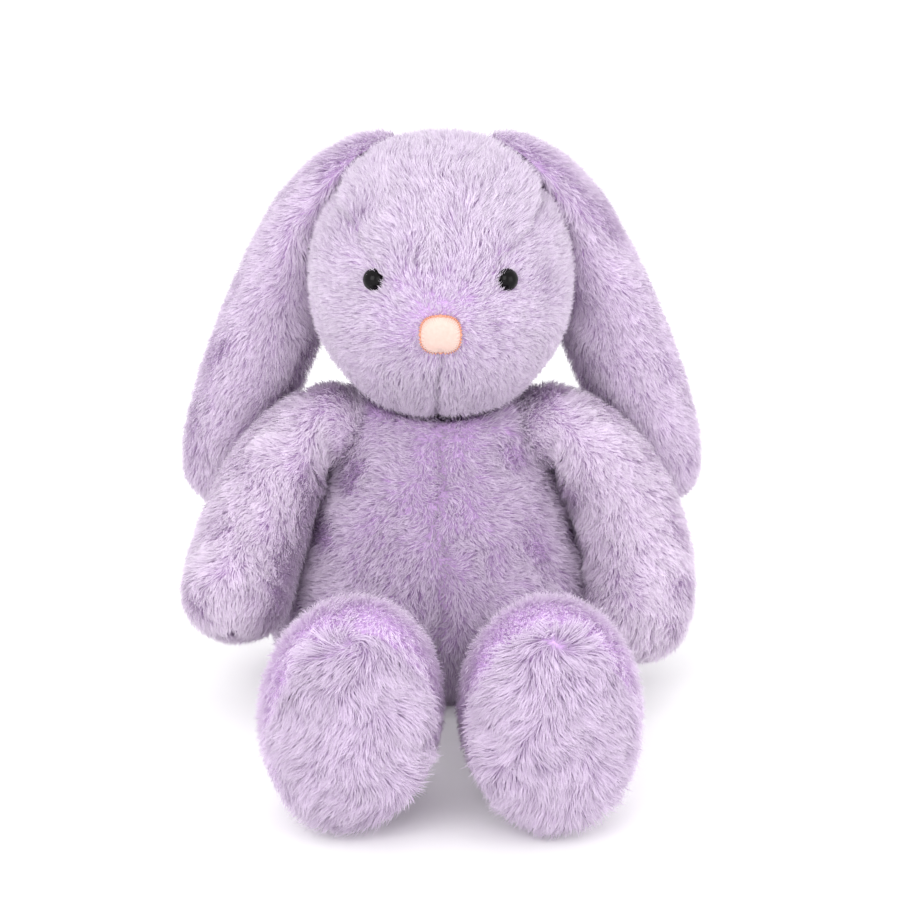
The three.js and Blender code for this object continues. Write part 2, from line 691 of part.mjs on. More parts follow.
// A leg lies along the floor from a round hip to an upright oval foot
function legForm(sign) {
  const footX = leg.feetShift + sign * (leg.feetGap / 2 + leg.footHalfWidth);
  const hipX = (sign * leg.hipApart) / 2;
  const lean = degrees(sign > 0 ? leg.leftFootLean : leg.rightFootLean);
  const r = leg.hipRadius;
  const w = leg.footHalfWidth;
  const h = leg.footHalfHeight;
  const front = -leg.length;
  const girth = curveThrough([
    // half width, half height, forward of the hip
    [0, 0, r],
    [r * 0.4, r * 0.4, r * 0.917],
    [r * 0.75, r * 0.75, r * 0.66],
    [r * 0.95, r * 0.95, r * 0.31],
    [r, r, -2],
    [r * 0.97, r * 0.98, front * 0.24],
    [r * 1.02, r * 1.06, front * 0.43],
    [w * 0.86, h * 0.8, front * 0.58],
    [w, h * 0.985, front * 0.73],
    [w * 0.95, h * 0.95, front * 0.85],
    [w * 0.75, h * 0.75, front * 0.94],
    [w * 0.4, h * 0.4, front * 0.985],
    [0, 0, front],
  ]);
  const bend = (v) => THREE.MathUtils.smoothstep(girth.getPoint(v).z, front * 0.7, front * 0.35);
  const centre = (v) => {
    const { y: high, z } = girth.getPoint(v);
    const standing = 1 - bend(v);
    const rest = THREE.MathUtils.lerp(r, h, standing);
    const share = THREE.MathUtils.clamp(z / front, 0, 1);
    const x = THREE.MathUtils.lerp(hipX, footX, share);
    return new THREE.Vector3(x, hipY + z, leg.floorGap + Math.max(rest, high));
  };
  return {
    core: centre,
    at: (u, v) => {
      const { x: wide, y: high } = girth.getPoint(v);
      const angle = u * 2 * Math.PI;
      const across = Math.max(0, wide) * Math.sin(angle);
      const up = Math.max(0, high) * Math.cos(angle);
      const tilt = lean * (1 - bend(v));
      const point = centre(v);
      point.x += across * Math.cos(tilt) + up * Math.sin(tilt);
      point.z += up * Math.cos(tilt) - across * Math.sin(tilt);
      point.z = Math.max(point.z, leg.floorGap);
      return point;
    },
  };
}

function addLeg({ name, sign }) {
  const form = legForm(sign);
  const gap = leg.soleGap / 2 / leg.length;
  const spokes = 16;
  const rings = 12;
  const level = (ring) => (ring / rings) * (leg.soleShare - gap);
  const skin = panel(form, (a, b) => [a, level(b * rings)], spokes, rings, { poleFirst: true, lastColumn: true });
  const seam = curtain(form, 0.25, leg.footHalfHeight + cutPast);
  const [top, under] = seamed(skin, seam, new THREE.Vector3(0, 0, 1));
  add(`leg_${name}_top`, top, fur());
  add(`leg_${name}_under`, under, fur());
  const cap = (a, b) => [a, THREE.MathUtils.lerp(leg.soleShare + gap, 1, b)];
  add(`foot_${name}_sole`, panel(form, cap, spokes, 4, { firstColumn: true, poleLast: true }), fur());
  const depth = cloth.wall + cloth.fillGap;
  add(`leg_${name}_stuffing`, filling(form, level(1), level(8), 7, spokes, depth), fibre());
  add(`foot_${name}_pellet_bag`, filling(form, level(8.1), 0.94, 7, spokes, depth), pellets());
}

addTorso();
addTail();
addNeck();
addHead();
addNose();
for (const side of sides) {
  addEar(side);
  addArm(side);
  addLeg(side);
}

// The origin is on the floor, under the middle of the whole toy
const extent = new THREE.Box3().setFromObject(group);
const middle = extent.getCenter(new THREE.Vector3());
group.position.set(-middle.x, -middle.y, -extent.min.z);
group.updateMatrixWorld(true);

export default group;
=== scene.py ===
import math

import bpy
import numpy as np
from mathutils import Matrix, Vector


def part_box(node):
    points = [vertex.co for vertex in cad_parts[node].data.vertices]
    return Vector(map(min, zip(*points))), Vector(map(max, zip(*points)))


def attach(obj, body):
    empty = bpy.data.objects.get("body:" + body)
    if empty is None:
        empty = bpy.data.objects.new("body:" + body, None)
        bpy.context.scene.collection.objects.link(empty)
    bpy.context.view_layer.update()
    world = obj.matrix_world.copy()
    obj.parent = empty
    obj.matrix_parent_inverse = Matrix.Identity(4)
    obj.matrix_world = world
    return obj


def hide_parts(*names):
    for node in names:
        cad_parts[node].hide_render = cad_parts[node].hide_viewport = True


# A seated plush rabbit in long-pile cloth. Sizes below are in millimetres; meshes are made in metres.
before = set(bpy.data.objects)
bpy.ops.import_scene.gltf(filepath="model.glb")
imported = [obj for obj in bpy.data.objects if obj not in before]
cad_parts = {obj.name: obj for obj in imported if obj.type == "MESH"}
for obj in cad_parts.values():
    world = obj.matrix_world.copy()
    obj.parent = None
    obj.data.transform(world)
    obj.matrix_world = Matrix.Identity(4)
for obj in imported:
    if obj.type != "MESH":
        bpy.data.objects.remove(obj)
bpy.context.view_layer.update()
mm = 0.001


def boxMiddle(*nodes):  # the middle of the box round these nodes, in millimetres
    corners = np.array([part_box(node) for node in nodes]) / mm
    return (corners[:, 0].min(axis=0) + corners[:, 1].max(axis=0)) / 2


neckAt = boxMiddle("neck_sleeve")
middleY = neckAt[1]

# Curves and fields


def curveThrough(points):
    # A centripetal Catmull-Rom curve through the points, as a function of an array of shares from 0 to 1
    knots = np.array(points, float)
    ends = np.vstack([2 * knots[0] - knots[1], knots, 2 * knots[-1] - knots[-2]])

    def at(share):
        place = np.clip(np.asarray(share, float), 0, 1) * (len(knots) - 1)
        i = np.minimum(place.astype(int), len(knots) - 2)
        w = (place - i)[..., None]
        p0, p1, p2, p3 = ends[i], ends[i + 1], ends[i + 2], ends[i + 3]
        steps = ((p0, p1), (p1, p2), (p2, p3))
        d0, d1, d2 = (np.sqrt(np.linalg.norm(b - a, axis=-1, keepdims=True)) for a, b in steps)
        d1 = np.where(d1 < 1e-4, 1, d1)
        d0 = np.where(d0 < 1e-4, d1, d0)
        d2 = np.where(d2 < 1e-4, d1, d2)
        t1 = ((p1 - p0) / d0 - (p2 - p0) / (d0 + d1) + (p2 - p1) / d1) * d1
        t2 = ((p2 - p1) / d1 - (p3 - p1) / (d1 + d2) + (p3 - p2) / d2) * d1
        return p1 + w * (t1 + w * (-3 * p1 + 3 * p2 - 2 * t1 - t2 + w * (2 * p1 - 2 * p2 + t1 + t2)))

    return at


def unit(vectors):
    return vectors / np.maximum(np.linalg.norm(vectors, axis=-1, keepdims=True), 1e-12)


def smoothstep(value, low, high):
    t = np.clip((value - low) / (high - low), 0, 1)
    return t * t * (3 - 2 * t)


def slopeOf(curve, share):
    return unit(curve(np.minimum(share + 1e-3, 1)) - curve(np.maximum(share - 1e-3, 0)))


def waves(seed, size, count=26):
    # A smooth random field about 0: the mean of sines running in random directions
    random = np.random.default_rng(seed)
    k = unit(random.normal(size=(count, 3))) * (2 * math.pi / size) * random.uniform(0.6, 1.5, (count, 1))
    phase = random.uniform(0, 2 * math.pi, count)

    def value(p):
        return np.sin(p @ k.T + phase).sum(axis=1) * 1.1 / math.sqrt(count)

    return value


# Forms: the place of each part's surface as a function of turns round it and share along it

torso = {
    "height": 131, "bellyForward": 3, "chinDip": 7,
    # half width, half depth, height, from the seat up over the shoulders to the neck
    "profile": [
        [58, 45, 0], [69.7, 52.2, 7.9], [75, 57.1, 22.3], [73.9, 58, 39.3], [66, 55.7, 59],
        [55.2, 50.5, 82.5], [47.8, 42.9, 100.9], [46, 37.2, 119.2], [40.5, 31.9, 129],
        [33.1, 27.4, 131], [25.5, 23.5, 128.4], [17, 17, 124],
    ],
    "skinEnds": (0.004, 0.995), "fill": 0.8,
    "front": {"sway": 50, "rise": (48, 78)}, "frontLength": 0.9, "back": {"width": 0.42},
    "strandsFront": 65000, "strandsBack": 38000, "seamWidth": 2.1,
}


def torsoForm(u, v):
    # An ellipse at each height of the profile. It leans forward at the belly and dips round the neck.
    profile = curveThrough(torso["profile"])(v)
    wide, deep, z = profile[..., 0], profile[..., 1], profile[..., 2]
    angle = u * 2 * math.pi
    lean = -torso["bellyForward"] * np.sin(math.pi * np.clip(z / torso["height"], 0, 1))
    dip = torso["chinDip"] * np.cos(angle) ** 2 * smoothstep(z / torso["height"], 0.72, 1)
    return np.stack([wide * np.sin(angle), middleY + lean - deep * np.cos(angle), z - dip], axis=-1)


head = {
    "half": np.array([54.5, 53, 58]), "roundness": 2.2, "forward": 12, "rise": 60.5,
    "muzzleReach": 5, "muzzleSpread": 24, "muzzleDrop": 13,
}
headAt = neckAt + np.array([0, -head["forward"], head["rise"]])


def power(value, exponent):
    return np.sign(value) * np.abs(value) ** exponent


def muzzle(x, z):
    away = x**2 + (z - headAt[2] + head["muzzleDrop"]) ** 2
    return head["muzzleReach"] * np.exp(-away / (2 * head["muzzleSpread"] ** 2))


def headForm(u, v):
    # A rounded block with its poles at the cheeks: sines and cosines raised to 2 over the roundness
    e = 2 / head["roundness"]
    across, turn = (v - 0.5) * math.pi, u * 2 * math.pi
    ring = power(np.cos(across), e)
    x = head["half"][0] * power(np.sin(across), e)
    ahead = power(np.cos(turn), e) * ring
    z = headAt[2] + head["half"][2] * ring * power(np.sin(turn), e)
    reach = muzzle(x, z) * np.maximum(0, ahead)
    return np.stack([x, headAt[1] - head["half"][1] * ahead - reach, z], axis=-1)


def faceAt(x, z):  # the front of the head at a place seen from the front
    n = head["roundness"]
    left = 1 - np.abs(x / head["half"][0]) ** n - np.abs((z - headAt[2]) / head["half"][2]) ** n
    ahead = np.maximum(left, 0) ** (1 / n)
    return np.stack([x + 0 * z, headAt[1] - (head["half"][1] + muzzle(x, z)) * ahead, z + 0 * x], axis=-1)


def faceNormal(x, z):
    return unit(np.cross(faceAt(x + 0.1, z) - faceAt(x - 0.1, z), faceAt(x, z + 0.1) - faceAt(x, z - 0.1)))


def headReach(points, grow=0):  # under 1 inside the head's form grown by some millimetres, over 1 outside
    away = np.abs((points - headAt) / (head["half"] + grow))
    return (away ** head["roundness"]).sum(axis=-1) ** (1 / head["roundness"])


ear = {
    "rootOut": 24, "rootBack": 14, "rootSink": 3, "headGap": 0.8, "skinShare": 0.8, "fill": 0.5,
    "strands": 65000, "comb": np.array([0.2, 0, -0.2]), "length": 0.95,
    # out, back, down, half width, bulge of the outer face, bulge of the inner face
    "stations": [
        [-8, -1, 1.5, 0, 0, 0], [0, -2, 0, 12, 3, 3], [9, -3, 3.5, 18, 5, 4], [21, -3, 14, 23, 9, 11],
        [33, 0, 30, 23, 12, 15], [44, 5, 52, 22.5, 14, 23], [54.5, 11, 78, 22, 16, 26.5],
        [64, 16, 107, 22, 18, 24.5],
        [71.5, 21, 135, 21.5, 19, 21.5], [76, 24, 154, 17, 15.5, 15], [77, 25, 170, 0, 0, 0],
    ],
}


def earForm(sign):
    stations = np.array(ear["stations"], float)
    route = curveThrough(stations[:, :3] * [sign, 1, -1])
    girth = curveThrough(stations[:, 3:])
    root = headAt + np.array([sign * ear["rootOut"], ear["rootBack"], head["half"][2] - ear["rootSink"]])

    def form(u, v):
        # Across the route, a flat oval whose two faces bulge differently and meet at the edges
        along = slopeOf(route, v)
        front = unit(np.array([0, -1, 0]) + along * along[..., 1:2])
        out = unit(np.cross(front, along)) * sign
        wide, outer, inner = (np.maximum(0, girth(v)[..., k : k + 1]) for k in range(3))
        angle = (u * 2 * math.pi)[..., None]
        bulge = np.where(np.sin(angle) > 0, outer, inner)
        return root + route(v) + front * wide * np.cos(angle) + out * bulge * np.sin(angle)

    return form


arm = {
    "strands": 62000, "comb": np.array([0.25, 0, -0.1]), "bareShare": 0.06, "fill": 0.7,
    "shoulderOut": 49.5, "shoulderAhead": 12, "shoulderHeight": 116,
    "rootRadius": 17.5, "pawRadius": 22.5, "capLength": 20, "squareShare": 0.35,
    "left": [[0, 0, 0], [10, 2, 7], [23, 6, 22], [33, 12, 44], [36, 20, 71], [28, 28, 96]],
    "right": [[0, 0, 0], [10, 3, 7], [22, 9, 22], [31, 18, 43], [37, 32, 63], [38, 48, 77]],
    "domeShift": np.array([26, 5, -3]), "domeShare": 0.22,
}


def armForm(side, sign):
    ahead = middleY - arm["shoulderAhead"]
    shoulder = np.array([sign * arm["shoulderOut"], ahead, arm["shoulderHeight"]])
    route = curveThrough(np.array(arm[side], float) * [sign, -1, -1])
    steps = route(np.linspace(0, 1, 201))
    length = np.linalg.norm(np.diff(steps, axis=0), axis=1).sum()
    capShare = arm["capLength"] / length

    def form(u, v):
        # A round tube along the arm's route, closing in a cap at the paw. The first share of it is a
        # dome that carries the shoulder in over the chest.
        share = (v - arm["domeShare"]) / (1 - arm["domeShare"])
        into = np.clip(-share * (1 - arm["domeShare"]) / arm["domeShare"], 0, 1)[..., None]
        v = np.maximum(share, 0)
        along = slopeOf(route, v)
        weight = np.clip(1 - v / arm["squareShare"], 0, 1)[..., None]
        along = unit(along * (1 - weight) + np.array([sign, 0, 0]) * weight)
        front = unit(np.array([0, -1, 0]) + along * along[..., 1:2])
        out = unit(np.cross(front, along)) * sign
        full = arm["rootRadius"] + (arm["pawRadius"] - arm["rootRadius"]) * np.minimum(1, v * 1.6)
        past = np.maximum(0, (v - 1 + capShare) / capShare)
        paw = (full * np.sqrt(np.maximum(0, 1 - past**2)))[..., None]
        radius = paw * np.sqrt(np.maximum(0, 1 - into**2))
        angle = (u * 2 * math.pi)[..., None]
        dome = np.array([-sign, 1, 1]) * arm["domeShift"] * into
        return shoulder + dome + route(v) + radius * (front * np.cos(angle) + out * np.sin(angle))

    return form


leg = {
    "hipRadius": 23, "hipOut": 38, "hipAhead": 79.04, "length": 113, "footWide": 33.8, "footHigh": 45,
    "feetGap": 5.6, "feetShift": 5.3, "floorGap": 0.3, "rightLean": 9, "leftLean": -1, "soleShare": 0.8,
    "whorlRise": 24, "strands": 46000, "strandsSole": 30000, "comb": np.array([0, 0, -0.25]), "fill": 0.7,
    "upperPile": {"rise": (30, 55)},
    "solePile": {"clump": 5.5, "gather": 0.5, "rise": (30, 58), "sway": 44}, "soleLength": 1.25,
}


def legForm(side, sign):
    r, w, h, front = leg["hipRadius"], leg["footWide"], leg["footHigh"], -leg["length"]
    footX = leg["feetShift"] + sign * (leg["feetGap"] / 2 + w)
    lean = math.radians(leg[side + "Lean"])
    girth = curveThrough([
        [0, 0, r], [r * 0.4, r * 0.4, r * 0.917], [r * 0.75, r * 0.75, r * 0.66],
        [r * 0.95, r * 0.95, r * 0.31], [r, r, -2], [r * 0.97, r * 0.98, front * 0.24],
        [r * 1.02, r * 1.06, front * 0.43], [w * 0.86, h * 0.8, front * 0.58],
        [w, h * 0.985, front * 0.73], [w * 0.95, h * 0.95, front * 0.85],
        [w * 0.75, h * 0.75, front * 0.94], [w * 0.4, h * 0.4, front * 0.985], [0, 0, front],
    ])

    def form(u, v):
        # An oval section carried from the round hip to the upright foot, leaning with it, flat below
        wide, high, z = (girth(v)[..., k] for k in range(3))
        wide, high = np.maximum(0, wide), np.maximum(0, high)
        bend = smoothstep(z, front * 0.7, front * 0.35)
        rest = h + (r - h) * bend
        x = sign * leg["hipOut"] + (footX - sign * leg["hipOut"]) * np.clip(z / front, 0, 1)
        angle = u * 2 * math.pi
        across, up, tilt = wide * np.sin(angle), high * np.cos(angle), lean * (1 - bend)
        px = x + across * np.cos(tilt) + up * np.sin(tilt)
        pz = leg["floorGap"] + np.maximum(rest, high) + up * np.cos(tilt) - across * np.sin(tilt)
        py = middleY - leg["hipAhead"] + z + 0 * px
        return np.stack([px, py, np.maximum(pz, leg["floorGap"])], axis=-1)

    return form


def ballForm(centre, radius):
    def form(u, v):  # a ball with its poles ahead and behind
        polar, around = v * math.pi, u * 2 * math.pi
        ring = radius * np.sin(polar)
        offset = [ring * np.sin(around), -radius * np.cos(polar), ring * np.cos(around)]
        return centre + np.stack(offset, axis=-1)

    return form


# Skins


def skinGrid(form, rows, columns, depth, ends=(0.012, 0.988)):
    # The form's surface on an even grid, moved in along its normal. Rows run along it, columns round it.
    v, u = np.meshgrid(np.linspace(*ends, rows + 1), np.arange(columns) / columns, indexing="ij")
    along = form(u, v + 2e-3) - form(u, v - 2e-3)
    around = form(u + 2e-3, v) - form(u - 2e-3, v)
    normal = unit(np.cross(along, around))
    points = form(u, v)
    away = points - points.mean(axis=1, keepdims=True)
    if (normal * away).sum() < 0:
        normal = -normal
    return points - normal * depth


def gridNormals(grid):
    # Each corner's normal is the mean of the normals of the cells round it
    wrapped = np.concatenate([grid, grid[:, :1]], axis=1)
    cell = np.cross(wrapped[1:, 1:] - wrapped[:-1, :-1], wrapped[1:, :-1] - wrapped[:-1, 1:])
    middle = grid.mean(axis=1, keepdims=True)
    if (cell * ((grid - middle)[:-1] + (grid - middle)[1:])).sum() < 0:
        cell = -cell
    cell = unit(cell)
    rows = np.concatenate([cell[:1], (cell[1:] + cell[:-1]) / 2, cell[-1:]])
    return unit(rows + np.roll(rows, 1, axis=1))


def makeObject(name, points, loops, starts):
    mesh = bpy.data.meshes.new(name)
    mesh.vertices.add(len(points))
    mesh.vertices.foreach_set("co", (points * mm).astype(np.float32).ravel())
    mesh.loops.add(len(loops))
    mesh.loops.foreach_set("vertex_index", loops.astype(np.int32))
    mesh.polygons.add(len(starts))
    mesh.polygons.foreach_set("loop_start", starts.astype(np.int32))
    mesh.update(calc_edges=True)
    piece = bpy.data.objects.new(name, mesh)
    bpy.context.scene.collection.objects.link(piece)
    return piece


def makeSkin(name, grid, material):
    # A closed skin: quads between the rows, and a fan to a middle point at each end
    rows, columns = grid.shape[:2]
    number = np.arange(rows * columns).reshape(rows, columns)
    right = np.roll(number, -1, axis=1)
    quads = np.stack([number[:-1], right[:-1], right[1:], number[1:]], axis=-1).reshape(-1, 4)
    first, last = rows * columns, rows * columns + 1
    fans = np.concatenate([
        np.stack([np.full(columns, first), right[0], number[0]], axis=-1),
        np.stack([np.full(columns, last), number[-1], right[-1]], axis=-1),
    ])
    normals = gridNormals(grid)
    a, b, c = (grid.reshape(-1, 3)[quads[:, k]] for k in (0, 1, 2))
    if (np.cross(b - a, c - b) * normals.reshape(-1, 3)[quads[:, 0]]).sum() < 0:
        quads, fans = quads[:, ::-1], fans[:, ::-1]
    points = np.concatenate([grid.reshape(-1, 3), grid[:1].mean(axis=1), grid[-1:].mean(axis=1)])
    loops = np.concatenate([quads.ravel(), fans.ravel()])
    starts = np.concatenate([np.arange(len(quads)) * 4, len(quads) * 4 + np.arange(len(fans)) * 3])
    piece = makeObject(name, points, loops, starts)
    piece.data.shade_smooth()
    piece.data.materials.append(material)
    return piece


# Fur

fur = {
    "width": 0.27, "length": 7.8, "lengthSpread": 0.22, "creaseShort": 0.55,
    "rise": (40, 72), "climb": 1.25, "curl": 0.55, "roll": 25, "sway": 34, "swaySize": 26,
    "clump": 3.4, "gather": 0.4, "gatherSpread": (0.4, 1.3), "floor": 0.25, "softness": 0.85,
}


def growFur(name, grid, count, comb, material, seed, length=None, keep=None, crease=None, **changes):
    # Flat tapering strands of a quad and a triangle, rooted evenly over a skin's grid. Each rises from
    # its root and bends over along the combed direction, and the tips of a clump draw together. Near a
    # crease the pile is short, and its colour is darkened as painted shade.
    look = {**fur, **changes}
    random = np.random.default_rng(seed)
    wrapped = np.concatenate([grid, grid[:, :1]], axis=1)
    normals = gridNormals(grid)
    wrappedNormals = np.concatenate([normals, normals[:, :1]], axis=1)
    across, back = wrapped[1:, 1:] - wrapped[:-1, :-1], wrapped[1:, :-1] - wrapped[:-1, 1:]
    area = np.linalg.norm(np.cross(across, back), axis=-1)
    columns = grid.shape[1]

    def sample(field, row, column, a, b):
        top = field[row, column] * (1 - b) + field[row, column + 1] * b
        low = field[row + 1, column] * (1 - b) + field[row + 1, column + 1] * b
        return top * (1 - a) + low * a

    chance = (area / area.sum()).ravel()
    cells = random.choice(len(chance), int(count * (1 if keep is None else 3)), p=chance)
    row, column = cells // columns, cells % columns
    a, b = random.random((2, len(cells), 1))
    root = sample(wrapped, row, column, a, b)
    normal = unit(sample(wrappedNormals, row, column, a, b))
    u, v = (column + b[:, 0]) / columns, (row + a[:, 0]) / (grid.shape[0] - 1)
    along = unit(wrapped[row + 1, column] - wrapped[row, column])
    if keep is not None:
        held = np.nonzero(keep(root, normal, u, v))[0][:count]
        root, normal, u, v, along = root[held], normal[held], u[held], v[held], along[held]
    n = len(root)
    tangent = comb(root, normal, u, v, along)
    tangent = unit(tangent - normal * (tangent * normal).sum(axis=1, keepdims=True))
    sway = waves(seed + 11, look["swaySize"])(root) + 0.5 * random.normal(size=n)
    turn = np.radians(look["sway"]) * sway[:, None]
    side = np.cross(normal, tangent)
    tangent = tangent * np.cos(turn) + side * np.sin(turn)
    side = np.cross(normal, tangent)
    long = look["length"] * (1 + look["lengthSpread"] * random.normal(size=n).clip(-2, 2))
    if length is not None:
        long = long * length(root, normal, u, v)
    near = crease(root, normal, u, v) if crease is not None else np.zeros(n)
    long = (long * (1 - look["creaseShort"] * near))[:, None]
    rise = np.radians(random.uniform(*look["rise"], (n, 1)))
    roll = np.radians(look["roll"]) * random.normal(size=(n, 1)).clip(-1.6, 1.6)
    flat = side * np.cos(roll) + normal * np.sin(roll)

    def strandAt(share):
        lift = np.sin(rise) * (share * look["climb"] - look["curl"] * share**2)
        return root + long * (tangent * np.cos(rise) * share + normal * lift)

    clump = look["clump"]
    drift = np.stack([waves(seed + 20 + k, clump * 3)(root) for k in range(3)], axis=1) * clump * 0.7
    cell = np.floor((root + drift) / clump).astype(int)
    group = np.unique(cell, axis=0, return_inverse=True)[1].ravel()
    size = np.bincount(group)
    tip = strandAt(1)
    gathered = np.stack([np.bincount(group, tip[:, k]) / size for k in range(3)], axis=1)[group]
    pull = (gathered - tip) * look["gather"] * random.uniform(*look["gatherSpread"], (n, 1))
    points = []
    for share, width in ((0, 1), (0.55, 0.85), (1, 0)):
        middle = strandAt(share) + pull * share**1.5
        reach = flat * look["width"] * 0.5 * width
        points += [middle - reach, middle + reach] if width else [middle]
    points = np.stack(points, axis=1)
    points[..., 2] = np.maximum(points[..., 2], look["floor"])
    base = np.arange(n)[:, None] * 5
    quads = base + [0, 1, 3, 2]
    tips = base + [2, 3, 4]
    across = np.cross(points[:, 1] - points[:, 0], points[:, 3] - points[:, 1])
    if (across * normal).sum() < 0:
        quads, tips = quads[:, ::-1], tips[:, ::-1]
    loops = np.concatenate([quads.ravel(), tips.ravel()])
    starts = np.concatenate([np.arange(n) * 4, 4 * n + np.arange(n) * 3])
    piece = makeObject(name, points.reshape(-1, 3), loops, starts)
    tone = random.random(len(size))[group]
    colour = np.ones((n, 5, 4), np.float32)
    colour[:, :, 0] = np.array([0, 0, 0.55, 0.55, 1])
    colour[:, :, 1] = random.random((n, 1))
    # Blue holds each tuft's random tone, darkened near a crease as painted shade
    colour[:, :, 2] = ((0.6 + 0.4 * tone) * (1 - near))[:, None]
    layer = piece.data.color_attributes.new("strand", "FLOAT_COLOR", "POINT")
    layer.data.foreach_set("color", colour.ravel())
    piece.data.shade_smooth()
    # Light falls on a strand much as it falls on the coat, so its normals lean towards the skin's
    own = unit(np.cross(side, tip - root) * np.cos(roll) + side * np.sin(roll) * 0.5)
    own *= np.sign((own * normal).sum(axis=1, keepdims=True))
    soft = unit(normal * look["softness"] + own * (1 - look["softness"]))
    piece.data.normals_split_custom_set_from_vertices(np.repeat(soft, 5, axis=0))
    piece.data.materials.append(material)
    print("fur", name, n, "strands", flush=True)
    return piece


# Materials


def newMaterial(name, **sockets):
    material = bpy.data.materials.new(name)
    material.use_nodes = True
    shader = material.node_tree.nodes["Principled BSDF"]
    for socket, value in sockets.items():
        shader.inputs[socket.replace("_", " ")].default_value = value
    return material, material.node_tree.nodes, material.node_tree.links, shader


def srgb(red, green, blue):  # a screen colour as linear light
    return [((c / 255 + 0.055) / 1.055) ** 2.4 if c > 10 else c / 3300 for c in (red, green, blue)] + [1]


def mixColour(nodes, links, factor, first, second, blend="MIX"):
    mix = nodes.new("ShaderNodeMix")
    mix.data_type = "RGBA"
    mix.blend_type = blend
    for socket, value in ((0, factor), (6, first), (7, second)):
        if hasattr(value, "links"):
            links.new(value, mix.inputs[socket])
        else:
            mix.inputs[socket].default_value = value
    return mix.outputs[2]


def noise(nodes, links, scale, detail=3):
    place = nodes.new("ShaderNodeTexCoord")
    texture = nodes.new("ShaderNodeTexNoise")
    texture.inputs["Scale"].default_value = scale
    texture.inputs["Detail"].default_value = detail
    links.new(place.outputs["Object"], texture.inputs["Vector"])
    return texture.outputs["Fac"]


strandLook = {"tipShare": 0.8, "frost": 0.35, "darkest": 0.74, "brightest": 1.03, "through": 0.42}


def furMaterial(name, root, tip, frost):
    # Each strand runs from a darker root, painted shade deep in the pile, to a pale tip; strands and tufts
    # differ a little, and near a crease the colour is darkened as painted shade
    material, nodes, links, shader = newMaterial(
        name, Roughness=0.82, Sheen_Weight=0.35, Sheen_Roughness=0.45, Sheen_Tint=srgb(250, 240, 255),
        Specular_IOR_Level=0.25)
    strand = nodes.new("ShaderNodeAttribute")
    strand.attribute_name = "strand"
    split = nodes.new("ShaderNodeSeparateColor")
    links.new(strand.outputs["Color"], split.inputs["Color"])
    # The ramp's root end is darker than its tip: painted shade deep in the pile
    ramp = nodes.new("ShaderNodeValToRGB")
    ramp.color_ramp.elements[0].color = root
    ramp.color_ramp.elements[1].color = tip
    ramp.color_ramp.elements[1].position = strandLook["tipShare"]
    links.new(split.outputs[0], ramp.inputs["Fac"])
    frosted = mixColour(nodes, links, split.outputs[1], ramp.outputs["Color"], frost)
    nodes[-1].name = "frost"
    soft = nodes.new("ShaderNodeMath")
    soft.operation = "MULTIPLY"
    soft.inputs[1].default_value = strandLook["frost"]
    links.new(split.outputs[1], soft.inputs[0])
    links.new(soft.outputs[0], nodes["frost"].inputs[0])
    # The tuft's random tone, darkened near a crease as painted shade
    toneAndCreaseShade = nodes.new("ShaderNodeMapRange")
    toneAndCreaseShade.inputs["To Min"].default_value = strandLook["darkest"]
    toneAndCreaseShade.inputs["To Max"].default_value = strandLook["brightest"]
    links.new(split.outputs[2], toneAndCreaseShade.inputs["Value"])
    shade = mixColour(nodes, links, 1.0, frosted, toneAndCreaseShade.outputs["Result"], "MULTIPLY")
    links.new(shade, shader.inputs["Base Color"])
    through = nodes.new("ShaderNodeBsdfTranslucent")
    links.new(shade, through.inputs["Color"])
    both = nodes.new("ShaderNodeMixShader")
    both.inputs[0].default_value = strandLook["through"]
    links.new(shader.outputs[0], both.inputs[1])
    links.new(through.outputs[0], both.inputs[2])
    links.new(both.outputs[0], nodes["Material Output"].inputs["Surface"])
    return material


def skinMaterial(name, deep, light):
    material, nodes, links, shader = newMaterial(name, Roughness=0.9, Sheen_Weight=0.2)
    grain = noise(nodes, links, 900, 2)
    colour = mixColour(nodes, links, grain, deep, light)
    links.new(colour, shader.inputs["Base Color"])
    bump = nodes.new("ShaderNodeBump")
    bump.inputs["Strength"].default_value = 0.4
    bump.inputs["Distance"].default_value = 0.0005
    links.new(grain, bump.inputs["Height"])
    links.new(bump.outputs["Normal"], shader.inputs["Normal"])
    return material


# Each pile's first colour is its root, kept darker than the tip as painted shade deep in the pile
lavender = furMaterial(
    "lavenderPile", srgb(208, 180, 219), srgb(243, 231, 247), srgb(249, 243, 251))
paleLavender = furMaterial(
    "paleLavenderPile", srgb(218, 192, 227), srgb(248, 238, 251), srgb(252, 247, 253))
dustyLavender = furMaterial(
    "dustyLavenderPile", srgb(204, 178, 215), srgb(239, 229, 243), srgb(247, 241, 249))
deepLavender = furMaterial(
    "deepLavenderPile", srgb(192, 163, 204), srgb(229, 216, 234), srgb(239, 230, 242))
backing = skinMaterial("knittedBacking", srgb(184, 150, 199), srgb(203, 172, 215))


def mottledMaterial(name, scale, first, second, grain=None, **sockets):
    # Two near colours mixed by a fine noise
    material, nodes, links, shader = newMaterial(name, **sockets)
    speckle = noise(nodes, links, scale)
    if grain is not None:
        nodes[-1].inputs["Roughness"].default_value = grain
    links.new(mixColour(nodes, links, speckle, first, second), shader.inputs["Base Color"])
    return material


# The rabbit
sides = (("left", 1), ("right", -1))
skinDepth = 2.6  # the skins lie this far inside the frame's cloth, and the pile fills the rest


def placePiece(piece, body, replaced=()):
    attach(piece, body)
    if replaced:
        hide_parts(*replaced)


def evenLength(share):  # a pile of one length, as a share of the coat's
    return lambda root, normal, u, v: np.full(len(u), share)


def combTorso(root, normal, u, v, along):  # down, and away from the seam up the middle
    x = root[:, 0]
    return np.stack([0.75 * np.tanh(x / 9), 0 * x, np.full(len(x), -1.0)], axis=1)


